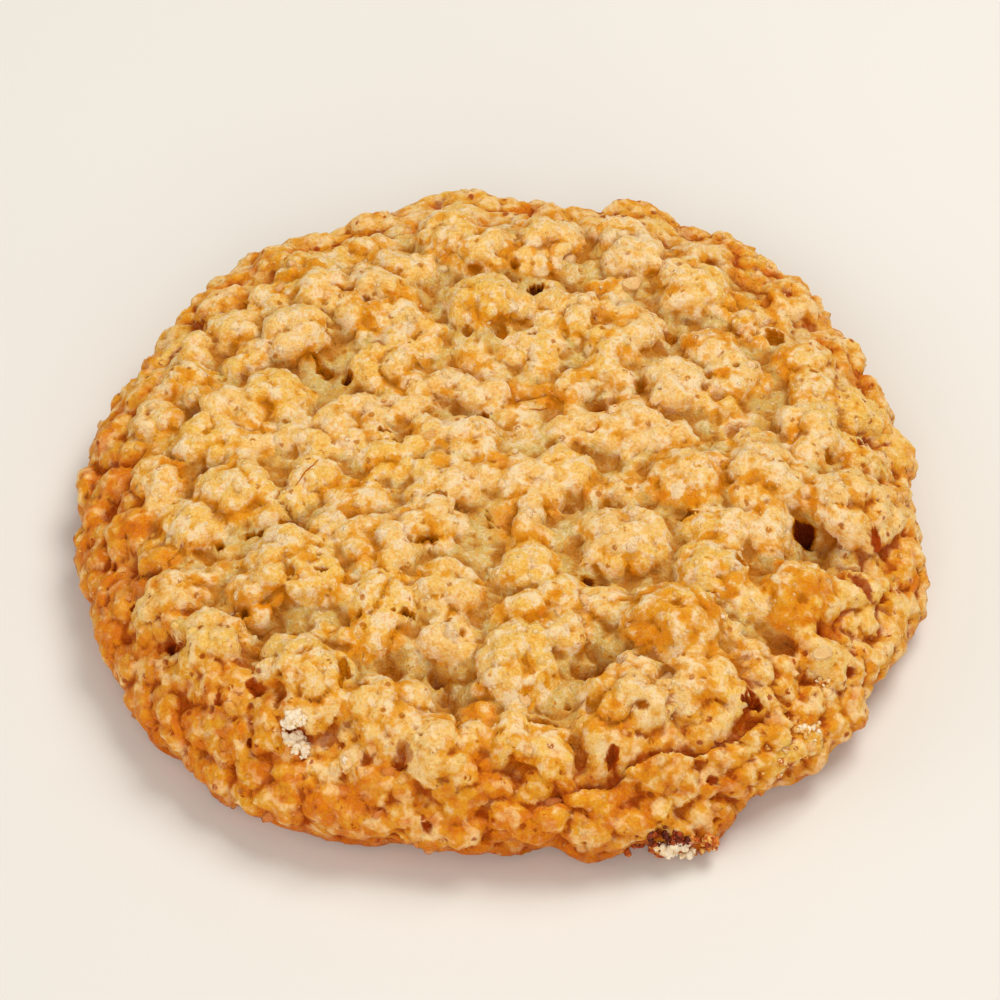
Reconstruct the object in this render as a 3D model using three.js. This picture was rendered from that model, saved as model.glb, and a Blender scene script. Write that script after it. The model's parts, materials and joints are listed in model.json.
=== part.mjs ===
// An oatmeal cookie as one closed solid, in millimetres, +Z up.
// It rests on its flat underside at z = 0 and is centred on the Z axis.
// The round, domed form comes from one profile. Lumps of dough and oats, pits and
// cracks are added to it as an offset along the surface's normal.
import * as THREE from "three";
import { ImprovedNoise } from "three/addons/math/ImprovedNoise.js";

// ---- Driving dimensions, in millimetres ----

// The side of the plain form, from the middle of the top to the edge of the
// underside: radius and height above the table.
const profilePoints = [
  [0, 16.6],
  [20.3, 16.1],
  [35.6, 15.1],
  [43.7, 13.2],
  [48.5, 10.0],
  [50.8, 4.8],
  [48.4, 0],
];
const widestRadius = 50.8;
const footRadius = 48.4;

// Where the round edge runs wider (+) or narrower (-) than the widest radius:
// angle about Z in degrees, half the width of the swell in degrees, and how far out.
const edgeSwells = [
  { angle: 3, spread: 9, out: -1.2 },
  { angle: 50, spread: 9, out: 2.6 },
  { angle: 68, spread: 5, out: 1.8 },
  { angle: 79, spread: 4, out: -1.2 },
  { angle: 98, spread: 6, out: 0.4 },
  { angle: 116, spread: 6, out: -0.9 },
  { angle: 130, spread: 5, out: 0.5 },
  { angle: 152, spread: 10, out: -1.4 },
  { angle: 200, spread: 4, out: 0.6 },
  { angle: 230, spread: 14, out: 2.1 },
  { angle: 259, spread: 5, out: -0.6 },
  { angle: 271, spread: 6, out: -1.4 },
  { angle: 314, spread: 11, out: 2.2 },
  { angle: 345, spread: 12, out: 1.0 },
];

// The lumps that stand out on the top: place, radius and height.
const topLumps = [
  { x: -25.5, y: 19.5, radius: 5.0, height: 2.8 },
  { x: -37.5, y: 19.5, radius: 3.6, height: 2.1 },
  { x: -34, y: 7.5, radius: 4.2, height: 2.2 },
  { x: -15, y: 16.5, radius: 5.4, height: 1.9 },
  { x: -14.5, y: 26, radius: 4.8, height: 2.3 },
  { x: -22, y: 27, radius: 4.0, height: 2.1 },
  { x: -2.5, y: 23.5, radius: 6.0, height: 2.9 },
  { x: -5, y: 35, radius: 7.0, height: 2.7 },
  { x: 4, y: 35, radius: 6.0, height: 2.5 },
  { x: 15, y: 18.5, radius: 5.0, height: 2.2 },
  { x: 17.5, y: 33, radius: 6.0, height: 2.1 },
  { x: 28, y: 35, radius: 5.0, height: 1.9 },
  { x: 37, y: 5.5, radius: 4.6, height: 2.3 },
  { x: 31.5, y: -4, radius: 5.2, height: 2.2 },
  { x: 22.5, y: -4, radius: 4.6, height: 2.2 },
  { x: 41, y: -7, radius: 5.6, height: 2.4 },
  { x: 29, y: -12.5, radius: 5.0, height: 2.0 },
  { x: 35, y: -20.5, radius: 5.0, height: 3.0 },
  { x: 20.5, y: -26.5, radius: 5.8, height: 3.5 },
  { x: 24, y: -35.5, radius: 5.2, height: 2.2 },
  { x: 15, y: -37.5, radius: 6.4, height: 2.6 },
  { x: 2.5, y: -29, radius: 6.4, height: 2.4 },
  { x: -6.5, y: -42, radius: 5.2, height: 2.3 },
  { x: -14.5, y: -38, radius: 4.9, height: 2.3 },
  { x: -23, y: -34, radius: 6.4, height: 2.7 },
  { x: -33.5, y: -27.5, radius: 5.4, height: 3.1 },
  { x: -39.5, y: -21, radius: 4.4, height: 2.2 },
  { x: -25, y: -18.5, radius: 5.8, height: 2.1 },
  { x: -27, y: -9, radius: 4.8, height: 2.1 },
  { x: -12, y: -18.5, radius: 5.2, height: 2.0 },
  { x: -33, y: -5, radius: 4.4, height: 2.1 },
];

// Lumps on the side: angle about Z, height above the table, radius and height.
const sideLumps = [
  { angle: 296.5, level: 1.0, radius: 5.6, height: 5.0 },
  { angle: 240, level: 5.0, radius: 4.5, height: 2.2 },
  { angle: 205, level: 6.0, radius: 4.5, height: 2.0 },
  { angle: 333, level: 6.5, radius: 5.0, height: 2.1 },
];

// Pits in the top: place, radius and depth.
const pits = [
  { x: 36.5, y: -12, radius: 2.2, depth: 4.6 },
  { x: 5, y: 27, radius: 1.9, depth: 3.4 },
  { x: -21, y: 15, radius: 2.1, depth: 3.4 },
  { x: -18, y: 12.5, radius: 1.8, depth: 2.4 },
  { x: 34, y: 20.5, radius: 2.0, depth: 2.2 },
  { x: 10.5, y: -19, radius: 2.0, depth: 2.8 },
  { x: -23.5, y: -26.5, radius: 2.1, depth: 2.6 },
  { x: -38, y: -26.5, radius: 1.8, depth: 2.0 },
  { x: -6.5, y: -32, radius: 2.5, depth: 2.8 },
  { x: 11, y: -31.5, radius: 3.2, depth: 2.6 },
  { x: -12.5, y: -31.5, radius: 2.8, depth: 2.0 },
  { x: 5, y: -39.5, radius: 2.0, depth: 2.0 },
  { x: 12.5, y: 8, radius: 2.6, depth: 1.8 },
  { x: 21, y: 20, radius: 2.2, depth: 1.8 },
];

// Cracks across the top, each from one end to the other.
const cracks = [
  { from: [-35, -22], to: [-20.5, -28], halfWidth: 1.5, depth: 1.8 },
  { from: [30.5, -35.5], to: [7, -45], halfWidth: 1.5, depth: 1.8 },
  { from: [-9, 28.5], to: [3, 29], halfWidth: 1.5, depth: 1.6 },
  { from: [-6.5, -30], to: [-4.5, -40], halfWidth: 1.4, depth: 1.8 },
];

// The small lumps that fill the rest of the surface: the distance between them, and
// their least and largest radius and height.
const fillPitch = 5.0;
const fillRadii = [2.6, 4.2];
const fillHeights = [0.8, 2.4];
const fillJitter = 0.45;
const fillSeed = 7;

// A lump's side is round at a power of 0.5 and more pointed above it.
const lumpPower = 0.52;
// The lumps stand on a body this much below the plain form.
const settle = 1.1;

const waveLength = 17;
const waveHeight = 0.7;
const grainLength = 3.0;
const grainHeight = 0.55;

// The mesh: the distance between its rings, and how many vertices a ring has.
const ringStep = 1.7;
const ringGrowth = 6;
const mostInRing = 168;
// No vertex of the side is lower than this.
const lowestSide = 0.35;
const profileDivisions = 400;

const crustColour = 0xdca05a;
const crustRoughness = 0.8;

// ---- The plain form ----

const profile = new THREE.SplineCurve(
  profilePoints.map(([radius, height]) => new THREE.Vector2(radius, height)),
);
profile.arcLengthDivisions = profileDivisions;
const profileLength = profile.getLength();

// How much wider than the plain circle the edge is in one direction.
function edgeScale(angle) {
  const degrees = THREE.MathUtils.radToDeg(angle);
  let radius = widestRadius;
  for (const swell of edgeSwells) {
    const away = THREE.MathUtils.euclideanModulo(degrees - swell.angle + 180, 360) - 180;
    radius += swell.out * Math.exp(-((away / swell.spread) ** 2));
  }
  return radius / widestRadius;
}

// The point and normal of the plain form at a share of the profile's length.
function plainSurface(share, angle) {
  const along = profile.getPointAt(share);
  const tangent = profile.getTangentAt(share);
  const outwards = new THREE.Vector3(Math.cos(angle), Math.sin(angle), 0);
  const point = outwards.clone().multiplyScalar(along.x * edgeScale(angle));
  point.z = along.y;
  const normal = outwards.multiplyScalar(-tangent.y);
  normal.z = tangent.x;
  return { point, normal: normal.normalize() };
}

// The share of the profile's length at which a test of its point first holds.
function shareWhere(test) {
  for (let step = 0; step < profileDivisions; step++) {
    const share = step / profileDivisions;
    if (test(profile.getPointAt(share))) return share;
  }
  return 1;
}

function onTop({ x, y }) {
  const angle = Math.atan2(y, x);
  const plainRadius = Math.hypot(x, y) / edgeScale(angle);
  const share = shareWhere((p) => p.x >= plainRadius);
  return plainSurface(share, angle).point;
}

function onSide({ angle, level }) {
  const share = shareWhere((p) => p.x > footRadius && p.y <= level);
  return plainSurface(share, THREE.MathUtils.degToRad(angle)).point;
}

// ---- Lumps, pits and cracks ----

// Draws a number between two limits, the same ones in every run.
THREE.MathUtils.seededRandom(fillSeed);
function drawBetween(least, most) {
  return THREE.MathUtils.lerp(least, most, THREE.MathUtils.seededRandom());
}

// Rows of lumps round the whole surface, each moved a little out of its place.
function fillLumps() {
  const rowCount = Math.round(profileLength / fillPitch);
  const lumps = [];
  for (let row = 0; row < rowCount; row++) {
    const rowRadius = profile.getPointAt((row + 0.5) / rowCount).x;
    const count = Math.round((2 * Math.PI * rowRadius) / fillPitch);
    for (let i = 0; i < count; i++) {
      const turn = (i + drawBetween(-fillJitter, fillJitter)) / count;
      const share = (row + 0.5 + drawBetween(-fillJitter, fillJitter)) / rowCount;
      lumps.push({
        centre: plainSurface(share, 2 * Math.PI * turn).point,
        radius: drawBetween(...fillRadii),
        height: drawBetween(...fillHeights),
      });
    }
  }
  return lumps;
}

const lumps = [
  ...topLumps.map((lump) => ({ ...lump, centre: onTop(lump) })),
  ...sideLumps.map((lump) => ({ ...lump, centre: onSide(lump) })),
  ...fillLumps(),
];
const noise = new ImprovedNoise();

// How high the highest lump stands over a point of the plain form.
function lumpHeight(point) {
  let highest = 0;
  for (const { centre, radius, height } of lumps) {
    const away = centre.distanceTo(point) / radius;
    if (away < 1) highest = Math.max(highest, height * (1 - away ** 2) ** lumpPower);
  }
  return highest;
}

function pitDepth(point) {
  let depth = 0;
  for (const pit of pits) {
    const away = Math.hypot(point.x - pit.x, point.y - pit.y) / pit.radius;
    depth += pit.depth * Math.exp(-(away ** 2));
  }
  return depth;
}

function crackDepth(point) {
  const flat = new THREE.Vector3(point.x, point.y, 0);
  const nearest = new THREE.Vector3();
  let depth = 0;
  for (const { from, to, halfWidth, depth: deepest } of cracks) {
    const line = new THREE.Line3(new THREE.Vector3(...from, 0), new THREE.Vector3(...to, 0));
    line.closestPointToPoint(flat, true, nearest);
    const away = nearest.distanceTo(flat) / halfWidth;
    depth += deepest * Math.exp(-(away ** 2));
  }
  return depth;
}

function noiseAt(point, length) {
  return noise.noise(point.x / length, point.y / length, point.z / length);
}

// The offset of the real surface from the plain form, outwards.
function relief(point) {
  const waves = waveHeight * noiseAt(point, waveLength);
  const grain = grainHeight * noiseAt(point, grainLength);
  return lumpHeight(point) + waves + grain - pitDepth(point) - crackDepth(point) - settle;
}

// ---- The mesh ----

// A vertex of the real surface. The last ring stays on the table.
function surfaceVertex(share, angle) {
  const { point, normal } = plainSurface(share, angle);
  const moved = point.clone().addScaledVector(normal, relief(point));
  moved.z = share === 1 ? 0 : Math.max(moved.z, lowestSide);
  return moved;
}

// Joins two rings of vertices by a strip of triangles. The rings may have different
// counts, and an inner ring of one vertex is the middle of the top.
function addStrip(triangles, inner, outer) {
  const innerSteps = inner.count === 1 ? 0 : inner.count;
  let i = 0;
  let j = 0;
  while (i < innerSteps || j < outer.count) {
    const innerNow = inner.start + (i % inner.count);
    const outerNow = outer.start + (j % outer.count);
    if (j < outer.count && (j + 1) * inner.count <= (i + 1) * outer.count) {
      triangles.push(innerNow, outerNow, outer.start + ((j + 1) % outer.count));
      j++;
    } else {
      triangles.push(innerNow, outerNow, inner.start + ((i + 1) % inner.count));
      i++;
    }
  }
}

// Closes the flat underside as a fan about its centre.
function addUnderside(vertices, triangles, edge) {
  const centre = vertices.length;
  vertices.push(new THREE.Vector3(0, 0, 0));
  for (let i = 0; i < edge.count; i++)
    triangles.push(centre, edge.start + ((i + 1) % edge.count), edge.start + i);
}

function cookieGeometry() {
  const ringCount = Math.round(profileLength / ringStep);
  const vertices = [surfaceVertex(0, 0)];
  const triangles = [];
  let inner = { start: 0, count: 1 };
  for (let ring = 1; ring <= ringCount; ring++) {
    const count = Math.min(ring * ringGrowth, mostInRing);
    const outer = { start: vertices.length, count };
    for (let i = 0; i < count; i++)
      vertices.push(surfaceVertex(ring / ringCount, (i / count) * 2 * Math.PI));
    addStrip(triangles, inner, outer);
    inner = outer;
  }
  addUnderside(vertices, triangles, inner);
  const positions = vertices.flatMap((vertex) => vertex.toArray());
  return new THREE.BufferGeometry()
    .setAttribute("position", new THREE.Float32BufferAttribute(positions, 3))
    .setIndex(triangles);
}

function cookieMesh() {
  const crust = new THREE.MeshStandardMaterial({
    color: crustColour,
    roughness: crustRoughness,
    metalness: 0,
  });
  const mesh = new THREE.Mesh(cookieGeometry(), crust);
  mesh.name = "cookie";
  const box = new THREE.Box3().setFromObject(mesh);
  const middle = box.getCenter(new THREE.Vector3());
  mesh.position.set(-middle.x, -middle.y, 0);
  return mesh;
}

const cookie = new THREE.Group();
cookie.add(cookieMesh());

export default cookie;
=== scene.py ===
import json
import math
import random

import bmesh
import bpy
from bpy.props import (
    FloatProperty,
    FloatVectorProperty,
    IntProperty,
    PointerProperty,
)
from mathutils import Euler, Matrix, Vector, noise

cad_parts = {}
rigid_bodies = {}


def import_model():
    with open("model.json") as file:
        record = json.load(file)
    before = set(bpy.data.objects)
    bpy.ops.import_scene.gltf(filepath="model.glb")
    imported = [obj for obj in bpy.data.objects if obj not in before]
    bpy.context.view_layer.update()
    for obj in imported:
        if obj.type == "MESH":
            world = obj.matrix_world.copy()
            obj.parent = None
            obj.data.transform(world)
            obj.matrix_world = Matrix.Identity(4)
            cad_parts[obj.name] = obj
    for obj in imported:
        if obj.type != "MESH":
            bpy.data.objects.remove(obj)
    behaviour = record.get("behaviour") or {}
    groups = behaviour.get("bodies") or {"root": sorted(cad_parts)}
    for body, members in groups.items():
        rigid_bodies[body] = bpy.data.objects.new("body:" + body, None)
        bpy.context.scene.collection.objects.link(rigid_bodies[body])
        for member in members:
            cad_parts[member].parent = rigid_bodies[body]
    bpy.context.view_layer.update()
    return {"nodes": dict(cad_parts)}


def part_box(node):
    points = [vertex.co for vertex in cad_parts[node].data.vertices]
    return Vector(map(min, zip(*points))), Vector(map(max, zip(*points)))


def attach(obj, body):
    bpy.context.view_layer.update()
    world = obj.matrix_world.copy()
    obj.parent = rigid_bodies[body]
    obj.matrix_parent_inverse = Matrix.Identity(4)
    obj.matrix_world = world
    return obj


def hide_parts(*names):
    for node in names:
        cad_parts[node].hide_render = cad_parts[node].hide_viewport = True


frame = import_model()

bl_info = {
    "name": "Oatmeal cookie",
    "version": (1, 0, 0),
    "blender": (4, 5, 0),
    "location": "View3D > Sidebar > Cookie",
    "description": "Builds a baked oatmeal cookie of knobbly dough, oat flakes and crumbs",
    "category": "Object",
}

COOKIE_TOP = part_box("cookie")[1][2]
MM = 0.001
UP = Vector((0.0, 0.0, 1.0))


def linear(red, green, blue):
    """Turn an 8-bit screen colour into the linear colour that Blender keeps."""
    def one(value):
        value /= 255
        if value <= 0.04045:
            return value / 12.92
        return ((value + 0.055) / 1.055) ** 2.4
    return (one(red), one(green), one(blue), 1.0)


# ---------------------------------------------------------------- sizes and colours

def number(name, about, default, **more):
    """A plain number, such as a share or a strength."""
    return FloatProperty(name=name, description=about, default=default, **more)


def length(name, about, millimetres):
    """A size in millimetres, shown in the scene's own unit."""
    return number(name, about, millimetres * MM, unit="LENGTH", precision=5, min=0.0)


def count(name, about, default, **more):
    """A whole number."""
    return IntProperty(name=name, description=about, default=default, **more)


def colour(name, about, *screen):
    """A surface colour, given as it looks on a screen."""
    return FloatVectorProperty(name=name, description=about, subtype="COLOR", size=4,
                               default=linear(*screen), min=0.0, max=1.0)


class DoughSizes(bpy.types.PropertyGroup):
    """Sizes of the knobs, grains and holes in the dough."""
    fineness: count("Fineness", "How many times each face of the dough is divided", 2,
                    min=1, max=2)
    knob_size: length("Knob size", "Width of one rounded knob of dough", 2.9)
    knob_height: length("Knob height", "How far a knob stands out of the dough", 1.55)
    grain_size: length("Grain size", "Width of the small bumps on a knob", 1.6)
    grain_height: length("Grain height", "How far a small bump stands out", 0.32)
    wander: length("Wander", "How far the knobs are pushed out of a regular pattern", 0.8)
    hole_depth: length("Hole depth", "How deep the small open pores go", 0.9)
    plumpness: number("Plumpness", "Height of a big lump as a share of its radius", 0.58)
    spread: number("Spread", "Width of the big lumps against their listed width", 1.08)
    settling: number("Settling", "How far the plain solid's own lumps sink away", 0.65,
                     min=0.0, max=1.0)
    pattern: number("Pattern", "Picks another arrangement of the knobs", 3.7)


class ScatterSizes(bpy.types.PropertyGroup):
    """Numbers and sizes of the flakes, nubs and grains."""
    flake_length: length("Flake length", "Length of a whole rolled oat flake", 5.2)
    nubs: count("Nubs per square metre", "How thickly the dough nubs lie", 130000, min=0)
    nub_size: length("Nub size", "Width of a middling nub of dough", 1.2)
    grains: count("Grains per square metre", "How thickly the fine grains lie", 300000,
                  min=0)
    grain_size: length("Fine grain size", "Width of a middling fine grain", 0.50)
    seed: count("Seed", "Picks another arrangement of nubs and grains", 5, min=0)

class CrustColours(bpy.types.PropertyGroup):
    """Colours of the baked dough, from pale to deeply browned, with the painted shade of its
    creases and holes.
    """
    flour: colour("Flour", "Palest grains on the knobs", 251, 224, 183)
    shell: colour("Shell", "Palest grains of the browned edge", 255, 215, 157)
    cream: colour("Cream", "Pale dough on the knobs", 245, 201, 124)
    butter: colour("Butter", "Yellower pale dough", 243, 195, 98)
    gold: colour("Gold", "Lightly browned patches", 231, 154, 8)
    # Painted shade: the colour that creases, pores and shallow holes of the middle are darkened
    # to.
    amber: colour("Amber", "Creases of the pale middle", 190, 111, 0)
    caramel: colour("Caramel", "Well browned patches of the middle", 224, 130, 8)
    toast: colour("Toast", "Well browned patches of the edge", 214, 106, 10)
    # Partly painted shade: the colour that creases, pores and shallow holes of the edge and the
    # lowest band are darkened to; it is also the real dark brown of crumbs and husks.
    bark: colour("Bark", "Creases and pores of the browned edge", 166, 61, 2)
    hollow: colour("Hollow", "Moist dough low in the middle", 204, 182, 110)
    # Painted shade: the near-black put inside the deepest holes; it is also the darkest real
    # crumb tone.
    pit: colour("Pit", "Inside of the deepest holes", 96, 28, 4)
    oat: colour("Oat", "Bare oat flake", 248, 218, 166)
    crumb: colour("Crumb", "Loose white crumbs", 252, 232, 200)


class StageSizes(bpy.types.PropertyGroup):
    """Where the camera stands and how strong the lamps are."""
    camera_height: number("Camera height", "Angle of the camera above the table",
                          math.radians(49.3), subtype="ANGLE")
    camera_distance: length("Camera distance", "From the camera to the cookie", 600)
    pixels_per_metre: number("Pixels per metre", "Scale of the picture at the cookie", 8330.0)
    key: number("Key lamp", "Strength of the high lamp behind", 4.3, unit="POWER")
    fill: number("Fill lamp", "Strength of the lamp in front", 3.7, unit="POWER")
    side: number("Side lamp", "Strength of the lamp on the left", 1.3, unit="POWER")
    sky: number("Room light", "Strength of the even light", 0.32)
    floor: colour("Floor", "Colour of the table top", 236, 232, 224)


class CookieSettings(bpy.types.PropertyGroup):
    """Everything that can be changed about the cookie."""
    dough: PointerProperty(type=DoughSizes)
    scatter: PointerProperty(type=ScatterSizes)
    crust: PointerProperty(type=CrustColours)
    stage: PointerProperty(type=StageSizes)


# ---------------------------------------------------------------- node trees

class Nodes:
    """Short calls for building a node tree. An input is a value or another node's socket."""

    def __init__(self, tree):
        self.tree = tree

    def fill(self, node, inputs):
        """Give a node's inputs their values or links."""
        for key, value in inputs.items():
            if isinstance(value, bpy.types.NodeSocket):
                self.tree.links.new(value, node.inputs[key])
            else:
                node.inputs[key].default_value = value

    def add(self, kind, inputs=None, **settings):
        """Add a node with its settings and inputs."""
        node = self.tree.nodes.new(kind)
        for name, value in settings.items():
            setattr(node, name, value)
        self.fill(node, inputs or {})
        return node

    def out(self, kind, inputs=None, output=0, **settings):
        """Add a node and give one of its outputs."""
        return self.add(kind, inputs, **settings).outputs[output]

    def maths(self, operation, *values):
        return self.out("ShaderNodeMath", dict(enumerate(values)), operation=operation)

    def less(self, first, second):
        return self.maths("SUBTRACT", first, second)

    def total(self, *values):
        result = values[0]
        for value in values[1:]:
            result = self.maths("ADD", result, value)
        return result

    def product(self, *values):
        result = values[0]
        for value in values[1:]:
            result = self.maths("MULTIPLY", result, value)
        return result

    def swing(self, value, middle, weight):
        """How far a value is off its middle, times a weight."""
        return self.product(self.less(value, middle), weight)

    def vector(self, operation, *values):
        output = "Value" if operation in ("DOT_PRODUCT", "LENGTH") else 0
        return self.out("ShaderNodeVectorMath", dict(enumerate(values)), output,
                        operation=operation)

    def away(self, vector, other):
        """One vector less another."""
        return self.vector("SUBTRACT", vector, other)

    def scaled(self, vector, factor):
        return self.out("ShaderNodeVectorMath", {0: vector, "Scale": factor},
                        operation="SCALE")

    def axis(self, vector, name="Z"):
        return self.out("ShaderNodeSeparateXYZ", {0: vector}, name)

    def between(self, value, low, high, start=0.0, end=1.0, kind="SMOOTHSTEP"):
        """Turn a value from low to high into one from start to end."""
        return self.out("ShaderNodeMapRange", {
            "Value": value, "From Min": low, "From Max": high,
            "To Min": start, "To Max": end}, "Result", interpolation_type=kind)

    def scale(self, size):
        """The texture scale that gives marks of a size."""
        return 1 / size if isinstance(size, float) else self.maths("DIVIDE", 1.0, size)

    def noise(self, vector, size, detail=2.0, rough=0.5, bend=0.0, output="Fac"):
        return self.out("ShaderNodeTexNoise", {
            "Vector": vector, "Scale": self.scale(size), "Detail": detail,
            "Roughness": rough, "Distortion": bend}, output)

    def cells(self, vector, size, output="Distance"):
        return self.out("ShaderNodeTexVoronoi", {
            "Vector": vector, "Scale": self.scale(size)}, output)

    def blend(self, factor, first, second):
        """Mix two colours."""
        return self.out("ShaderNodeMix", {0: factor, 6: first, 7: second}, 2,
                        data_type="RGBA")

    def spot(self):
        return self.out("GeometryNodeInputPosition")

    def normal(self):
        return self.out("GeometryNodeInputNormal", None, "Normal")


def geometry_tree(name, sockets):
    """Start a geometry tree with named inputs; gives its builder, inputs and end node."""
    tree = bpy.data.node_groups.new(name, "GeometryNodeTree")
    face = tree.interface
    face.new_socket("Geometry", in_out="INPUT", socket_type="NodeSocketGeometry")
    for label, kind in sockets.items():
        face.new_socket(label, in_out="INPUT", socket_type="NodeSocket" + kind)
    face.new_socket("Geometry", in_out="OUTPUT", socket_type="NodeSocketGeometry")
    build = Nodes(tree)
    start = build.add("NodeGroupInput")
    return build, start.outputs, build.add("NodeGroupOutput")


def grow(piece, tree, values):
    """Run a geometry tree on a piece and keep the result as its own plain mesh."""
    modifier = piece.modifiers.new(tree.name, "NODES")
    modifier.node_group = tree
    for item in tree.interface.items_tree:
        if item.in_out == "INPUT" and item.name in values:
            modifier[item.identifier] = values[item.name]
    graph = bpy.context.evaluated_depsgraph_get()
    mesh = bpy.data.meshes.new_from_object(
        piece.evaluated_get(graph), preserve_all_data_layers=True, depsgraph=graph)
    piece.modifiers.clear()
    old = piece.data
    piece.data = mesh
    bpy.data.meshes.remove(old)
    mesh.name = piece.name
    if not mesh.polygons:
        raise RuntimeError(f"{piece.name} came out empty")


def new_piece(name, mesh):
    """Put a mesh into the scene under a name."""
    piece = bpy.data.objects.new(name, mesh)
    mesh.name = name
    bpy.context.scene.collection.objects.link(piece)
    return piece


def drop(pieces):
    """Take helper shapes out of the scene once they are used."""
    for piece in list(pieces):
        bpy.data.objects.remove(piece)


def keep(piece):
    """Tell the frame that a piece belongs to the cookie."""
    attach(piece, "root")


# ---------------------------------------------------------------- materials

# Widths of the marks in the finish, in metres
CLOUD = 0.013
PATCH = 0.0036
PINHOLE_SPACING = 0.0021
SPOT = 0.0015
MOTTLE = 0.0013
SHEEN = 0.0012
BEAD = 0.0011
CRUMB_CLOUD = 0.0006
GRIT = 0.00038
FINE_GRIT = 0.0002
BUMP_HEIGHT = 0.0008
# How far red, green and blue light goes into moist dough
GLOW_DEPTHS = (0.0011, 0.0008, 0.0004)
# Painted shade: the edge is painted darker on the side that this points away from, where the
# lamps light it less
LIT_SIDE = (0.6, 0.8, 0.0)
# What the relief notes on the surface for the finish
MARKS = ("rim", "valley", "crease", "pit", "knob", "browned", "lump")


def crust_nodes(build, where, colours, marks, beads, grit):
    """Colour of baked dough at a place: pale, gold and toasted patches, and painted shade in
    creases, holes, pores and low places, on the shaded side of the edge and partly at its foot.

    Beads and grit are the heights of the fine relief, pale on top and golden between: partly
    painted highlight and shade."""
    between, product, blend = build.between, build.product, build.blend
    rim = marks["rim"]

    def outwards(inner, outer):
        """A value that changes from the middle to the edge."""
        return between(rim, 0.2, 0.9, inner, outer)
    patch = build.noise(where, PATCH, 3.0, 0.55, 0.4)
    shifted = build.vector("ADD", where, (0.31, 0.17, 0.05))
    mottle = build.noise(shifted, MOTTLE, 3.0, 0.6, 0.5)
    spots = build.noise(where, SPOT, 1.0, 0.5, 0.3)
    fine_relief_height = build.total(product(beads, 0.4), product(grit, 0.6))
    groove = between(marks["knob"], 0.90, 0.45, kind="LINEAR")
    # Painted shade: the edge is made darker on the side away from the lit side.
    shaded_side = between(build.vector("DOT_PRODUCT", where, LIT_SIDE), 0.01, -0.042)
    # Darker towards the bottom edge: partly the real browning of the foot, partly painted
    # contact shadow next to the table.
    foot = between(build.axis(where), 0.0065, 0.0010)
    pale = blend(between(rim, 0.1, 0.8), colours.flour, colours.shell)
    toasted = blend(between(rim, 0.1, 0.8), colours.caramel, colours.toast)
    shade = blend(between(rim, 0.1, 0.7), colours.amber, colours.bark)
    # Painted shade: baked rises in the grooves between knobs, between the big lumps and between
    # the fine beads, so low places turn golden as shade does; in the grooves this is partly the
    # dough's own browning too.
    baked = build.total(
        product(patch, 0.52), product(mottle, 0.31), build.swing(marks["browned"], 0.4, 0.24),
        product(rim, 0.08), product(groove, outwards(0.26, 0.20)),
        build.swing(marks["lump"], 0.6, -0.12), build.swing(beads, 0.5, -0.18),
        product(rim, build.swing(shaded_side, 0.68, 0.13)), product(foot, 0.10), -0.036)
    surface = blend(between(build.noise(where, CLOUD, 1.0), 0.38, 0.62),
                    colours.cream, colours.butter)
    surface = blend(between(baked, 0.435, 0.575, 0.0, 0.85), surface, colours.gold)
    surface = blend(between(baked, 0.55, 0.74, 0.0, 0.84), surface, toasted)
    soft_spots = product(
        between(build.less(spots, product(groove, 0.10)), 0.46, 0.60),
        outwards(0.74, 0.76), between(baked, outwards(0.64, 0.84), 0.46))
    surface = blend(soft_spots, surface, pale)
    moist = product(between(marks["valley"], 0.15, 0.85), build.less(1.0, rim),
                    between(mottle, 0.35, 0.60, 0.80, 0.56))
    surface = blend(moist, surface, colours.hollow)
    # Painted highlight and shade, partly the dough's own fine grain: the tops of the fine relief
    # turn pale and its hollows golden.
    pale_grains = product(between(fine_relief_height, 0.50, 0.64, 0.0, 0.42),
                          between(baked, 0.62, 0.48, 0.2, 1.0))
    surface = blend(pale_grains, surface, pale)
    surface = blend(between(fine_relief_height, 0.49, 0.37, 0.0, 0.45), surface, colours.gold)
    # Painted shade: creases are darkened towards amber in the middle and bark at the edge, where
    # shade falls.
    browned = product(between(marks["crease"], 0.05, outwards(0.80, 0.64)),
                      between(mottle, 0.38, 0.60, 1.0, 0.7),
                      between(rim, 0.0, 0.8, 0.88, 0.94))
    surface = blend(browned, surface, shade)
    surface = blend(product(foot, 0.45), surface, colours.bark)
    # Painted shade: tiny pores that are only colour, darkened with the shade colour.
    pinholes = product(between(build.cells(shifted, PINHOLE_SPACING), 0.26, 0.14),
                       between(mottle, 0.48, 0.54, 0.0, 0.85))
    surface = blend(pinholes, surface, shade)
    # Painted shade inside the pores and listed holes: shallow ones take the shade colour and the
    # deepest the near-black pit colour.
    surface = blend(between(marks["pit"], 0.15, 0.60), surface, shade)
    return blend(between(marks["pit"], 0.60, 1.0), surface, colours.pit)


def attribute(build, name):
    """What the relief or a scatter has noted under a name."""
    return build.out("ShaderNodeAttribute", None, "Fac", attribute_name=name)


def start_material(name):
    """Start a finish; gives it, its builder, its shader and the place on the object."""
    material = bpy.data.materials.new(name)
    material.use_nodes = True
    material.node_tree.nodes.clear()
    build = Nodes(material.node_tree)
    shader = build.add("ShaderNodeBsdfPrincipled")
    build.add("ShaderNodeOutputMaterial", {"Surface": shader.outputs["BSDF"]})
    return material, build, shader, build.out("ShaderNodeTexCoord", None, "Object")


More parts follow.
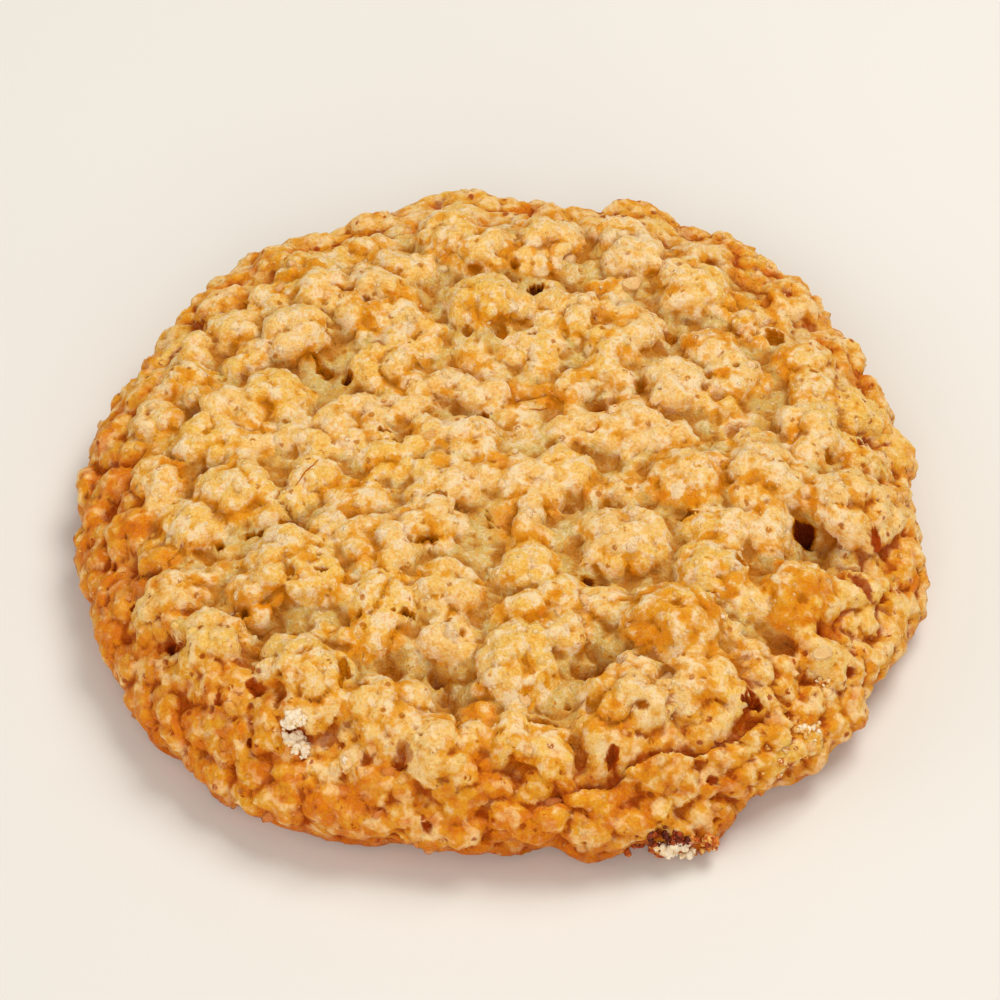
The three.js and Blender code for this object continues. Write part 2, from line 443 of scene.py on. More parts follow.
def crust_finish(name, colours, pale=None, pale_amount=0.0, gloss=0.0, glow=0.0):
    """A baked dough finish. Pale mixes in another colour, such as bare oat."""
    material, build, shader, where = start_material(name)
    between, product = build.between, build.product
    marks = {mark: attribute(build, mark) for mark in MARKS}
    beads = build.noise(where, BEAD, 1.0)
    grit = build.noise(where, GRIT, 1.0)
    surface = crust_nodes(build, where, colours, marks, beads, grit)
    if pale is not None:
        amount = product(between(attribute(build, "tone"), 0.0, 1.0, 0.35, 1.0, "LINEAR"),
                         between(marks["rim"], 0.1, 0.9, 1.0, 0.3), pale_amount)
        surface = build.blend(amount, surface, pale)
    lift = build.total(product(beads, 0.50), product(grit, 0.31),
                       product(build.noise(where, FINE_GRIT, 0.0), 0.19))
    build.fill(shader, {
        "Base Color": surface,
        "Roughness": between(build.noise(where, SHEEN), 0.35, 0.68,
                             0.50 - gloss, 0.26 - gloss, "LINEAR"),
        "Normal": build.out("ShaderNodeBump", {
            "Height": lift, "Strength": 0.8, "Distance": BUMP_HEIGHT}),
        "Subsurface Weight": glow, "Subsurface Radius": GLOW_DEPTHS, "Subsurface Scale": 1.0,
        "Specular IOR Level": 0.17, "Specular Tint": linear(255, 208, 140)})
    return material


def crumb_finish(name, colours):
    """A dry crumb finish whose tone goes from dark brown through gold to white."""
    material, build, shader, where = start_material(name)
    tone = build.total(attribute(build, "tone"),
                       build.swing(build.noise(where, CRUMB_CLOUD), 0.5, 0.5))
    surface = colours.pit
    for low, high, paler in ((0.0, 0.34, colours.bark), (0.30, 0.52, colours.toast),
                             (0.48, 0.70, colours.butter), (0.64, 0.92, colours.crumb)):
        surface = build.blend(build.between(tone, low, high), surface, paler)
    build.fill(shader, {"Base Color": surface, "Roughness": 0.55, "Specular IOR Level": 0.3})
    return material


# ---------------------------------------------------------------- dough

# Rounded lumps on the top: across, towards the back and radius in mm, and how browned
# each one is, from 0 for cream to 1 for deep gold
LUMPS = (
    (-37.5, 19.5, 3.7, 0.2), (-25.0, 19.6, 4.3, 0.25), (-31.0, 16.2, 2.9, 0.3),
    (-33.0, 21.8, 3.4, 0.3), (-22.0, 27.2, 3.9, 0.15), (-14.8, 24.3, 5.2, 0.35),
    (-11.5, 18.6, 4.0, 0.3), (-14.6, 14.2, 3.5, 0.15), (-34.2, 8.6, 3.7, 0.2),
    (-41.5, 8.6, 3.3, 0.5), (-38.2, 13.2, 3.5, 0.55), (-27.2, 9.2, 4.5, 0.45),
    (-35.2, 3.2, 3.6, 0.3), (-29.5, 2.4, 3.2, 0.35), (-22.2, 3.4, 4.0, 0.1),
    (-17.4, 6.3, 3.5, 0.3), (-15.8, 2.2, 3.1, 0.2), (-10.6, 8.7, 3.8, 0.35),
    (-17.2, 34.4, 4.2, 0.3), (-24.2, 32.2, 3.5, 0.5), (-29.2, 26.2, 3.4, 0.3),
    (-6.6, 37.0, 4.4, 0.4), (-3.0, 33.2, 4.6, 0.45), (-1.8, 24.4, 5.0, 0.3),
    (-2.2, 10.4, 3.0, 0.2), (-9.0, 2.8, 3.2, 0.4), (-4.2, 2.2, 3.5, 0.3),
    (-12.2, 30.2, 3.8, 0.3), (-28.4, 36.2, 3.2, 0.9), (-35.0, 27.2, 3.2, 0.6),
    (-43.2, 13.4, 3.1, 0.7), (4.4, 24.4, 4.2, 0.15), (9.4, 22.6, 4.2, 0.3),
    (12.8, 26.6, 2.8, 0.4), (16.2, 20.8, 3.9, 0.2), (13.2, 16.8, 3.6, 0.45),
    (4.2, 17.2, 3.8, 0.15), (12.2, 12.8, 3.7, 0.3), (7.8, 9.8, 3.1, 0.4),
    (21.0, 11.0, 4.3, 0.15), (14.6, 5.2, 4.3, 0.2), (8.6, 4.6, 3.2, 0.15),
    (20.6, 2.6, 3.3, 0.3), (25.2, 18.2, 3.6, 0.5), (23.4, 28.2, 4.6, 0.35),
    (28.6, 25.6, 3.0, 0.5), (17.0, 33.2, 4.0, 0.25), (15.2, 38.2, 3.9, 0.4),
    (6.2, 36.4, 4.0, 0.45), (3.2, 31.4, 3.1, 0.5), (32.2, 23.4, 3.4, 0.5),
    (28.2, 13.2, 3.6, 0.5), (37.2, 5.0, 4.1, 0.3), (36.0, 0.6, 3.2, 0.4),
    (42.4, 9.4, 3.8, 0.2), (37.4, 11.4, 3.4, 0.5), (37.0, 17.2, 4.1, 0.7),
    (43.2, 2.8, 3.3, 0.6), (26.2, 9.4, 2.8, 0.4), (30.2, 2.2, 2.8, 0.4),
    (36.2, 29.0, 3.5, 0.5), (24.6, 34.2, 3.2, 0.7), (22.4, -4.2, 4.8, 0.75),
    (8.2, -2.4, 3.6, 0.3), (2.2, -3.4, 3.1, 0.2), (4.2, -7.0, 3.0, 0.3),
    (31.6, -4.4, 5.6, 0.4), (42.2, -6.6, 5.8, 0.55), (14.4, -13.4, 4.9, 0.25),
    (2.8, -17.2, 3.5, 0.2), (3.0, -12.4, 3.0, 0.4), (25.2, -11.8, 3.8, 0.35),
    (31.8, -11.6, 3.6, 0.45), (24.8, -17.6, 4.8, 0.45), (35.0, -20.2, 4.8, 1.2),
    (34.6, -22.6, 4.2, 1.2), (29.4, -21.8, 3.0, 0.1), (20.4, -26.3, 5.8, 0.9),
    (25.8, -27.0, 2.6, 0.1), (7.6, -26.6, 3.3, 0.25), (2.6, -25.4, 3.3, 0.5),
    (1.6, -31.8, 4.9, 0.35), (14.8, -35.2, 5.1, 0.4), (12.6, -39.2, 3.9, 0.5),
    (24.2, -34.2, 4.9, 0.5), (23.2, -38.4, 3.4, 0.6), (30.2, -31.2, 3.8, 0.45),
    (2.7, -36.4, 2.5, 0.0), (-2.8, -37.7, 2.0, 1.3), (0.8, -41.2, 2.9, 0.2),
    (5.0, -43.2, 3.4, 0.6), (37.6, -27.0, 3.5, 0.5), (41.4, -19.4, 3.6, 0.5),
    (11.8, -22.6, 3.2, 0.4), (7.4, -22.2, 3.1, 0.4), (18.4, -43.0, 4.2, 0.7),
    (31.0, -38.2, 3.3, 0.7), (-33.5, -27.2, 4.7, 0.2), (-38.2, -21.4, 4.5, 0.4),
    (-41.2, -14.8, 3.2, 0.8), (-31.2, -5.2, 4.6, 0.4), (-36.2, -9.6, 3.8, 0.3),
    (-27.0, -8.6, 3.1, 0.15), (-22.4, -3.8, 3.9, 0.2), (-17.0, -6.8, 3.5, 0.4),
    (-24.2, -17.0, 5.4, 0.4), (-28.8, -21.4, 3.4, 0.75), (-14.4, -14.2, 4.7, 0.4),
    (-8.4, -11.0, 4.1, 0.15), (-7.2, -5.2, 4.1, 0.35), (-13.4, -1.0, 3.4, 0.3),
    (-1.8, -2.4, 3.0, 0.4), (-14.2, -22.4, 4.3, 0.25), (-6.2, -21.4, 4.2, 0.3),
    (-15.6, -27.6, 3.4, 0.6), (-6.2, -27.4, 3.2, 0.15), (-23.0, -31.2, 5.4, 0.45),
    (-20.6, -36.6, 3.9, 0.35), (-12.6, -37.6, 4.9, 0.45), (-6.6, -42.0, 4.6, 0.3),
    (-31.2, -35.0, 3.8, 0.6), (-26.2, -38.4, 2.9, 0.8), (-45.0, -8.0, 3.3, 0.8),
    (-41.2, -3.0, 3.9, 0.6), (-17.6, -43.0, 2.0, 0.1), (-13.2, -45.6, 3.1, 0.8),
    (-4.2, -46.6, 3.2, 0.8), (-19.2, -11.6, 3.4, 0.3), (-19.8, -20.2, 3.3, 0.5),
)
LARGEST_LUMP = 7.0

# Holes and hollows in the top that are easy to see: across, towards the back, width and
# depth in mm, and how dark the painted shade inside them is
HOLES = (
    (35.8, -10.3, 1.45, 2.8, 1.0),
    (4.4, 27.3, 1.1, 2.6, 0.95), (-21.9, 15.4, 0.75, 1.7, 0.80),
    (-20.9, 14.6, 0.6, 1.5, 0.80), (-18.3, 12.8, 0.65, 1.6, 0.9),
    (-22.1, 22.3, 0.5, 1.0, 0.6), (33.5, 20.8, 1.15, 1.7, 0.7),
    (10.0, -18.9, 0.85, 1.9, 0.9), (-32.9, -12.9, 0.6, 1.5, 0.85),
    (-29.9, -23.7, 0.6, 1.1, 0.8), (-38.3, -26.2, 0.65, 1.3, 0.85),
    (-43.0, -19.7, 0.6, 1.2, 0.7), (-6.8, -31.2, 1.6, 1.7, 0.35),
    (-6.4, -33.4, 1.3, 1.6, 0.35), (-12.8, -31.2, 1.7, 1.5, 0.35),
    (12.0, 8.0, 1.3, 1.6, 0.5), (13.6, 8.6, 1.0, 1.3, 0.4),
    (20.7, 20.3, 0.9, 1.1, 0.5), (1.7, -0.2, 0.7, 1.2, 0.6),
    (17.2, -2.2, 1.4, 1.1, 0.3), (28.0, 4.3, 1.5, 1.2, 0.25),
    (16.7, 11.3, 0.9, 1.2, 0.5), (7.7, 13.8, 0.8, 1.0, 0.4),
    (39.2, 0.8, 0.6, 0.9, 0.6), (-7.3, 8.3, 1.3, 1.1, 0.3),
    (-28.2, -34.5, 0.9, 1.2, 0.6), (-11.2, -43.0, 1.3, 1.0, 0.4),
    (-32.7, -35.0, 0.6, 1.0, 0.6), (-6.0, -25.6, 0.45, 0.9, 0.7),
    (28.8, -34.8, 0.8, 1.2, 0.7), (12.6, -42.8, 0.6, 1.2, 0.8),
    (37.3, -25.5, 0.9, 1.2, 0.6), (44.0, -11.4, 0.7, 0.9, 0.6),
    (27.9, -17.5, 0.7, 1.0, 0.6), (12.3, -7.0, 1.2, 0.9, 0.25),
    (7.8, -7.5, 1.0, 0.9, 0.3), (1.8, 30.8, 0.8, 0.9, 0.5),
    (26.0, 9.0, 1.3, 1.0, 0.3), (37.8, 13.3, 0.5, 0.9, 0.7),
    (43.1, 4.2, 0.5, 0.9, 0.7),
)
# Slits and creases: start and end across and towards the back, width, depth and how dark the
# painted shade inside is
SLITS = (
    (-10.4, -14.7, -7.1, -14.5, 0.45, 1.1, 0.75), (-8.8, -7.8, -6.6, -7.6, 0.45, 1.0, 0.85),
    (-1.5, -8.9, -1.0, -11.6, 0.45, 1.1, 0.5), (20.8, -9.8, 22.9, -9.5, 0.5, 1.0, 0.85),
    (27.6, -35.5, 30.0, -35.2, 0.5, 1.0, 0.85), (-3.2, 6.5, -1.4, 6.8, 0.45, 1.2, 0.85),
    (-14.6, 2.6, -12.9, 3.0, 0.5, 1.1, 0.85), (-12.7, 1.6, -11.8, 1.0, 0.5, 1.1, 0.85),
    (-25.2, -26.2, -22.2, -26.6, 0.75, 1.8, 0.85), (-30.2, -11.7, -27.8, -11.6, 0.45, 1.0, 0.85),
    (-26.7, -6.5, -24.0, -11.0, 0.5, 1.1, 0.25), (-18.0, -31.2, -18.4, -35.4, 0.6, 1.2, 0.6),
    (3.2, -39.0, 6.3, -38.8, 0.8, 1.5, 0.5), (8.2, -31.0, 13.6, -31.4, 1.25, 1.8, 0.35),
    (-21.6, -19.0, -20.2, -19.4, 0.45, 0.9, 0.85), (-12.1, -24.6, -10.2, -24.8, 0.45, 1.0, 0.85),
    (22.4, -22.6, 24.4, -22.4, 0.5, 1.0, 0.85), (15.4, -30.7, 20.6, -31.2, 0.9, 1.3, 0.25),
    (40.6, -17.0, 43.6, -19.6, 0.7, 0.9, 0.5), (-33.7, -23.0, -30.0, -24.8, 0.8, 1.2, 0.5),
    (-30.0, -24.8, -25.7, -26.0, 0.8, 1.2, 0.25), (-25.7, -26.0, -20.7, -28.0, 0.7, 1.0, 0.25),
    (30.3, -36.0, 24.3, -40.5, 0.8, 1.3, 0.25), (24.3, -40.5, 14.3, -43.5, 0.8, 1.3, 0.25),
    (14.3, -43.5, 8.3, -46.0, 0.8, 1.2, 0.25), (-6.5, -30.0, -4.8, -40.0, 0.8, 1.1, 0.25),
)
# How far apart the marks along a slit lie, in mm
SLIT_STEP = 0.4
# Drops a place onto the floor when it is multiplied by this
FLAT = (1.0, 1.0, 0.0)
# The middle of a noise's colour
HALF = (0.5, 0.5, 0.5)
# How smoothly neighbouring knobs run into each other
KNOB_SMOOTHNESS = 0.08
# Heights between which the top starts, and the dome height that the lumps rise from
TOP_FROM, TOP_TO = 0.006, 0.012
LUMP_GROUND = 0.0026
# How far from the middle the browned edge starts and is full
RIM_FROM, RIM_TO = 0.036, 0.0505
# How far apart the small open pores lie
PORE_SPACING = 0.0041
# Corners of the plain solid that are nearer than this are one corner
SAME_CORNER = 0.00001


def point_piece(name, places, values):
    """A piece of loose points, each with its named values."""
    mesh = bpy.data.meshes.new(name)
    mesh.from_pydata(places, [], [])
    for label, numbers in values.items():
        mesh.attributes.new(label, "FLOAT", "POINT").data.foreach_set("value", numbers)
    return new_piece(name, mesh)


def hole_marks():
    """Marks on the floor under each hole and along each slit, with width, depth and the painted
    shade inside.
    """
    marks = list(HOLES)
    for x0, y0, x1, y1, width, depth, dark in SLITS:
        steps = max(2, round(math.hypot(x1 - x0, y1 - y0) / SLIT_STEP))
        for step in range(steps + 1):
            share = step / steps
            taper = math.sin(math.pi * (0.12 + 0.76 * share)) ** 0.6
            marks.append((x0 + (x1 - x0) * share, y0 + (y1 - y0) * share,
                          width * taper, depth * taper, dark))
    return point_piece("marks", [(mark[0] * MM, mark[1] * MM, 0.0) for mark in marks], {
        "width": [mark[2] * MM for mark in marks],
        "depth": [mark[3] * MM for mark in marks],
        "dark": [mark[4] for mark in marks]})


def lump_points(spread):
    """A point over the middle of each lump. The smaller the lump, the higher its point, so
    the nearest point belongs to the lump whose dome is highest at a place."""
    return point_piece("lumps", [
        (x * MM, y * MM, math.sqrt(LARGEST_LUMP ** 2 - (radius * spread) ** 2) * MM)
        for x, y, radius, _ in LUMPS], {"browned": [lump[3] for lump in LUMPS]})


def knob_height(build, where, size):
    """Rounded knobs that meet in sharp creases, about 0 to 1 high."""
    distance = build.out("ShaderNodeTexVoronoi", {
        "Vector": where, "Scale": build.scale(size), "Smoothness": KNOB_SMOOTHNESS},
        "Distance", feature="SMOOTH_F1")
    dome = build.between(build.product(distance, distance), 0.0, 0.72, 1.0, 0.0, "LINEAR")
    return build.maths("POWER", dome, 0.6)


def named(build, name):
    """Read what was noted under a name."""
    return build.out("GeometryNodeInputNamedAttribute", {"Name": name}, "Attribute",
                     data_type="FLOAT")


def store(build, mesh, name, value):
    """Note a value on each point of a mesh under a name."""
    return build.out("GeometryNodeStoreNamedAttribute", {
        "Geometry": mesh, "Name": name, "Value": value}, data_type="FLOAT", domain="POINT")


def evened(build, value, rounds):
    """A vector field averaged with its neighbours a number of times."""
    return build.out("GeometryNodeBlurAttribute", {"Value": value, "Iterations": rounds},
                     "Value", data_type="FLOAT_VECTOR")


def store_depth(build, mesh, name, rounds, low, high):
    """Note how far each place lies under the evened surface, as 0 at low to 1 at high."""
    position = build.spot()
    under = build.vector("DOT_PRODUCT", build.away(
        evened(build, position, rounds), position), build.normal())
    return store(build, mesh, name, build.between(under, low, high, kind="LINEAR"))


def moved(build, mesh, **how):
    """A mesh with its points at another Position or pushed by an Offset."""
    return build.out("GeometryNodeSetPosition", {"Geometry": mesh, **how})


def above_floor(build, mesh):
    """Nothing of a mesh reaches below the table top."""
    return moved(build, mesh, Position=build.vector("MAXIMUM", build.spot(), (-1.0, -1.0, 0.0)))


def finished(build, end, mesh, finish):
    """Smooth the mesh, make it real, give it its finish and end the tree."""
    mesh = build.out("GeometryNodeSetShadeSmooth", {"Geometry": mesh})
    mesh = build.out("GeometryNodeRealizeInstances", {"Geometry": mesh})
    mesh = build.out("GeometryNodeSetMaterial", {"Geometry": mesh, "Material": finish})
    build.fill(end, {0: mesh})
    return build.tree


def sampler(build, points, place):
    """A function that reads a value at the point of a piece nearest to a place."""
    info = build.out("GeometryNodeObjectInfo", {"Object": points}, "Geometry")
    nearest = build.out("GeometryNodeSampleNearest", {
        "Geometry": info, "Sample Position": place}, "Index", domain="POINT")

    def sample(kind, value):
        return build.out("GeometryNodeSampleIndex", {
            "Geometry": info, "Index": nearest, "Value": value}, "Value",
            data_type=kind, domain="POINT")
    return sample


def flattened(build, place, size, amount):
    """A place dropped onto the floor and pushed about there by noise."""
    flat = build.vector("MULTIPLY", place, FLAT)
    push = build.away(build.noise(flat, size, 3.0, output="Color"), HALF)
    return build.vector("MULTIPLY", build.vector("ADD", flat, build.scaled(push, amount)), FLAT)


def lump_field(build, lumps, place):
    """Height of the fused domes at a place, and how browned the lump there is."""
    flat = flattened(build, place, 0.0042, 0.0050)
    sample = sampler(build, lumps, flat)
    away = build.vector("LENGTH", build.away(flat, sample("FLOAT_VECTOR", build.spot())))
    over = build.less((LARGEST_LUMP * MM) ** 2, build.product(away, away))
    height = build.maths("SQRT", build.maths("MAXIMUM", over, 0.0))
    return height, sample("FLOAT", named(build, "browned"))


def mark_profile(build, marks, place):
    """Depth of the hole or slit at a place, and how much painted shade it gets there, 0 to 1."""
    sample = sampler(build, marks, build.vector("MULTIPLY", place, FLAT))
    bent = flattened(build, place, 0.0016, 0.0017)
    away = build.vector("LENGTH", build.away(bent, sample("FLOAT_VECTOR", build.spot())))
    share = build.maths("DIVIDE", away, sample("FLOAT", named(build, "width")))
    return (build.product(sample("FLOAT", named(build, "depth")),
                          build.between(share, 0.35, 1.10, 1.0, 0.0)),
            build.product(sample("FLOAT", named(build, "dark")),
                          build.between(share, 0.95, 1.25, 1.0, 0.0)))


def dough_tree():
    """Knobs, grains, pores and holes on a plain lumpy solid, and what the finish needs."""
    build, given, end = geometry_tree("Dough relief", {
        "Fineness": "Int", **dict.fromkeys((
            "Knob size", "Knob height", "Grain size", "Grain height", "Wander",
            "Hole depth", "Plumpness", "Settling", "Pattern"), "Float"),
        "Marks": "Object", "Lumps": "Object", "Crust": "Material"})
    between, product, less, total = build.between, build.product, build.less, build.total
    vector, scaled, away = build.vector, build.scaled, build.away
    mesh = build.out("GeometryNodeSubdivisionSurface", {
        "Mesh": given["Geometry"], "Level": given["Fineness"]})
    position = build.spot()
    normal = build.normal()
    height = build.axis(position)
    slope = build.axis(normal)
    upper = product(between(slope, -0.75, -0.15), between(height, 0.0004, 0.0022))
    outward = evened(build, normal, 14)
    facing = build.axis(outward)

    # The listed lumps grow out of the top, and the plain solid's own lumps sink there
    soft_place = evened(build, position, 7)
    round_place = evened(build, position, 60)
    on_top = product(between(height, TOP_FROM, TOP_TO), between(facing, 0.35, 0.8))
    lumps, browned = lump_field(build, given["Lumps"], position)
    raised = product(less(lumps, LUMP_GROUND), given["Plumpness"], on_top)
    settle = product(between(height, 0.001, 0.003), 0.8)
    body = vector("ADD", scaled(away(soft_place, position), settle),
                  scaled(away(round_place, soft_place), product(on_top, given["Settling"])))
    mesh = store(build, mesh, "browned", build.out(
        "ShaderNodeMix", {0: on_top, 2: 0.5, 3: browned}, data_type="FLOAT"))
    # The finish paints shade where this is low, between the big lumps.
    mesh = store(build, mesh, "lump", between(lumps, 0.0, 0.0045, kind="LINEAR"))
    mesh = moved(build, mesh, Offset=vector("ADD", scaled(outward, raised), body))
    mesh = moved(build, mesh, Position=evened(build, position, 2))
    mesh = store_depth(build, mesh, "valley", 90, 0.00005, 0.0009)

    # Knobs, small grains and crumbly noise, rougher towards the edge
    start = vector("ADD", position, given["Pattern"])
    wander = scaled(away(build.noise(start, 0.0045, output="Color"), HALF),
                    product(given["Wander"], 2.0))
    place = vector("ADD", start, wander)
    knobs = knob_height(build, place, given["Knob size"])
    grains = knob_height(build, vector("ADD", place, (0.5, 0.2, 0.1)), given["Grain size"])
    calm = between(build.noise(start, 0.011, 1.0), 0.36, 0.62, 0.65, 1.15)
    edge = between(facing, 0.8, 0.2, 0.0, 0.5)
    rough = total(edge, between(build.noise(start, 0.006, 1.0), 0.38, 0.62, 0.5, 1.2))
    lift = total(
        product(less(knobs, 0.72), given["Knob height"], total(calm, product(edge, 0.4))),
        product(less(grains, 0.65), given["Grain height"], rough),
        build.swing(build.noise(start, 0.0026), 0.5, 0.0008),
        build.swing(build.noise(start, 0.0011, 1.0), 0.5, 0.0006))

    # Small open pores, and the listed holes and slits straight down from the top
    pore_place = vector("ADD", place, (0.9, 0.4, 0.7))
    pore_kind = build.axis(build.cells(pore_place, PORE_SPACING, "Color"), "X")
    pore_size = between(pore_kind, 0.45, 1.0, 0.0, 0.22, "LINEAR")
    pore = product(
        between(less(build.cells(pore_place, PORE_SPACING), pore_size), -0.06, 0.03, 1.0, 0.0),
        between(pore_size, 0.02, 0.06))
    top = between(facing, -0.1, 0.3)
    mark_depth, mark_shade = mark_profile(build, given["Marks"], position)
    # Painted shade: pit notes the pores and the shaded insides of the listed holes, for the
    # finish to darken.
    mesh = store(build, mesh, "pit", product(build.maths(
        "MAXIMUM", product(pore, 0.55), product(mark_shade, top)), upper))
    hollows = total(product(between(build.noise(start, 0.005), 0.45, 0.72), 0.0007),
                    product(less(1.0, knobs), 0.0004))
    under = product(hollows, between(slope, -0.6, -0.9))
    straight = less(under, product(mark_depth, top))
    outwards = less(lift, product(pore, given["Hole depth"]))
    mesh = moved(build, mesh, Offset=vector(
        "ADD", scaled(normal, product(outwards, upper)), scaled(tuple(UP), straight)))
    # The finish paints shade where this is low, in the grooves between knobs.
    mesh = store(build, mesh, "knob", total(product(knobs, 0.6), product(grains, 0.4)))
    mesh = above_floor(build, mesh)
    # The finish paints shade where this crease depth is large.
    mesh = store_depth(build, mesh, "crease", 8, 0.00002, 0.00042)
    radius = vector("LENGTH", vector("MULTIPLY", position, FLAT))
    low = product(between(height, 0.0135, 0.003), 0.9)
    mesh = store(build, mesh, "rim", build.maths(
        "MAXIMUM", between(radius, RIM_FROM, RIM_TO), low))
    return finished(build, end, mesh, given["Crust"])


def joined_copy(name, node):
    """A copy of a node's mesh whose loose triangles share their corners."""
    mesh = frame["nodes"][node].data.copy()
    mesh.materials.clear()
    shape = bmesh.new()
    shape.from_mesh(mesh)
    bmesh.ops.remove_doubles(shape, verts=shape.verts, dist=SAME_CORNER)
    shape.to_mesh(mesh)
    shape.free()
    if "UVMap" in mesh.attributes:
        mesh.attributes.remove(mesh.attributes["UVMap"])
    return new_piece(name, mesh)


class COOKIE_OT_dough(bpy.types.Operator):
    """Build the knobbly dough body over the plain solid"""
    bl_idname = "cookie.dough"
    bl_label = "Dough"

    def execute(self, context):
        settings = context.scene.cookie
        sizes = settings.dough
        piece = joined_copy("dough", "cookie")
        marks = hole_marks()
        lumps = lump_points(sizes.spread)
        values = {name.replace("_", " ").capitalize(): getattr(sizes, name)
                  for name in sizes.__annotations__}
        grow(piece, dough_tree(), {
            **values, "Marks": marks, "Lumps": lumps,
            "Crust": crust_finish("baked dough", settings.crust, glow=0.5)})
        drop((marks, lumps))
        keep(piece)
        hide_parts("cookie")
        return {"FINISHED"}


# ---------------------------------------------------------------- flakes, nubs, grains

def uneven(mesh, amount, seed):
    """Push a small shape's points about so that no two variants look alike."""
    rng = random.Random(seed)
    noise.seed_set(seed)
    shift = Vector([rng.uniform(-50, 50) for _ in range(3)])
    for vertex in mesh.vertices:
        vertex.co += noise.noise_vector(vertex.co * 2.2 + shift) * amount


def ringed(name, rings, seed, amount):
    """A closed shape from rings of points, each given as radius, height and count."""
    points = []
    starts = []
    for radius, height, many in rings:
        starts.append(len(points))
        for step in range(many):
            angle = 2 * math.pi * step / many
            points.append((radius * math.cos(angle), radius * math.sin(angle), height))
    faces = []
    for upper in range(len(rings) - 1):
        many, more = rings[upper][2], rings[upper + 1][2]
        top, low = starts[upper], starts[upper + 1]
        up_steps = 0 if many == 1 else many
        low_steps = 0 if more == 1 else more
        i = j = 0
        while i < up_steps or j < low_steps:
            behind = (i + 0.5) * low_steps < (j + 0.5) * up_steps
            if j >= low_steps or (i < up_steps and behind):
                faces.append((top + i % many, low + j % more, top + (i + 1) % many))
                i += 1
            else:
                faces.append((top + i % many, low + j % more, low + (j + 1) % more))
                j += 1
    mesh = bpy.data.meshes.new(name)
    mesh.from_pydata(points, [], faces)
    uneven(mesh, amount, seed)
    return new_piece(name, mesh)


def pebble(name, seed, rough=0.30):
    """A rounded lump one unit wide with a few dozen faces."""
    return ringed(name, ((0.0, 0.5, 1), (0.27, 0.42, 6), (0.5, 0.05, 9), (0.33, -0.34, 6),
                         (0.0, -0.42, 1)), seed, rough)


def grain(name, seed):
    """A small rough grain one unit wide."""
    return ringed(name, ((0.0, 0.45, 1), (0.42, 0.12, 5), (0.40, -0.2, 5), (0.0, -0.45, 1)),
                  seed, 0.22)


def flake(name, seed):
    """A rolled oat flake one unit long: a thin curled oval with a groove along it."""
    rng = random.Random(seed)
    piece = ringed(name, (
        (0.0, 0.075, 1), (0.26, 0.08, 7), (0.44, 0.055, 12), (0.5, 0.0, 12),
        (0.44, -0.05, 12), (0.24, -0.06, 7), (0.0, -0.06, 1)), seed, 0.13)
    narrow = rng.uniform(0.5, 0.68)
    curl = rng.uniform(0.2, 0.55)
    twist = rng.uniform(-0.3, 0.3)
    for vertex in piece.data.vertices:
        x, y, z = vertex.co
        y *= narrow
        z += curl * (x * x * 0.9 + y * y * 0.5) - 0.05 * math.exp(-(y / 0.06) ** 2)
        z += twist * x * y
        vertex.co = (x, y, z)
    return piece


def variants_of(name, maker, number, seed, *more):
    """Some shapes of a kind that all differ a little."""
    return [maker(f"{name}_{place}", seed + place, *more) for place in range(number)]


def scatter_tree(name, lean, sink, crowd):
    """Lay variants on the dough, leaning at random and sunk into it."""
    build, given, end = geometry_tree(name, {
        "Dough": "Object", "Shapes": "Collection", "Thickness of cover": "Float",
        "Nearest": "Float", "Size": "Float", "Seed": "Int", "Finish": "Material"})

    def chance(low, high, seed, kind="FLOAT_VECTOR"):
        return build.out("FunctionNodeRandomValue", {
            "Min": low, "Max": high, "Seed": seed}, "Value", data_type=kind)
    spread = build.add("GeometryNodeDistributePointsOnFaces", {
        "Mesh": build.out("GeometryNodeObjectInfo", {"Object": given["Dough"]}, "Geometry"),
        "Distance Min": given["Nearest"], "Density Max": given["Thickness of cover"],
        "Density Factor": crowd(build), "Seed": given["Seed"]},
        distribute_method="POISSON")
    points = store(build, spread.outputs["Points"], "tone", chance(0.0, 1.0, 11, "FLOAT"))
    tilt = build.out("FunctionNodeEulerToRotation", {
        0: chance((-lean, -lean, 0.0), (lean, lean, 2 * math.pi), 21)})
    turned = build.out("FunctionNodeRotateRotation", {
        "Rotation": spread.outputs["Rotation"], "Rotate By": tilt}, rotation_space="LOCAL")
    spot = chance(0.0, 1.0, 31, "FLOAT")
    size = build.product(given["Size"], build.between(
        build.product(spot, spot), 0.0, 1.0, 0.62, 1.75, "LINEAR"))
    laid = build.out("GeometryNodeInstanceOnPoints", {
        "Points": points, "Pick Instance": True, "Rotation": turned,
        "Instance": build.out("GeometryNodeCollectionInfo", {
            "Collection": given["Shapes"], "Separate Children": True,
            "Reset Children": True}),
        "Scale": build.vector("MULTIPLY", chance((0.8, 0.8, 0.75), (1.2, 1.2, 1.1), 41), size)})
    sunk = build.out("GeometryNodeTranslateInstances", {
        "Instances": laid, "Translation": (0.0, 0.0, sink), "Local Space": True})
    mesh = build.out("GeometryNodeRealizeInstances", {"Geometry": sunk})
    return finished(build, end, above_floor(build, mesh), given["Finish"])


def open_dough(build):
    """One on the top and side of the dough, and nothing underneath, in holes or creases."""
    between = build.between
    return build.product(
        between(build.axis(build.normal()), -0.6, -0.2),
        between(named(build, "pit"), 0.05, 0.3, 1.0, 0.0),
        between(named(build, "crease"), 0.10, 0.35, 1.0, 0.0),
        between(build.axis(build.spot()), 0.0008, 0.0022))


def nub_crowd(build):
    """Nubs lie in drifts, thicker towards the edge."""
    drift = build.between(build.noise(build.spot(), 0.009, 1.0), 0.40, 0.62, 0.15, 1.0)
    edge = build.between(named(build, "rim"), 0.0, 0.7, 0.55, 1.0)
    return build.product(open_dough(build), drift, edge)


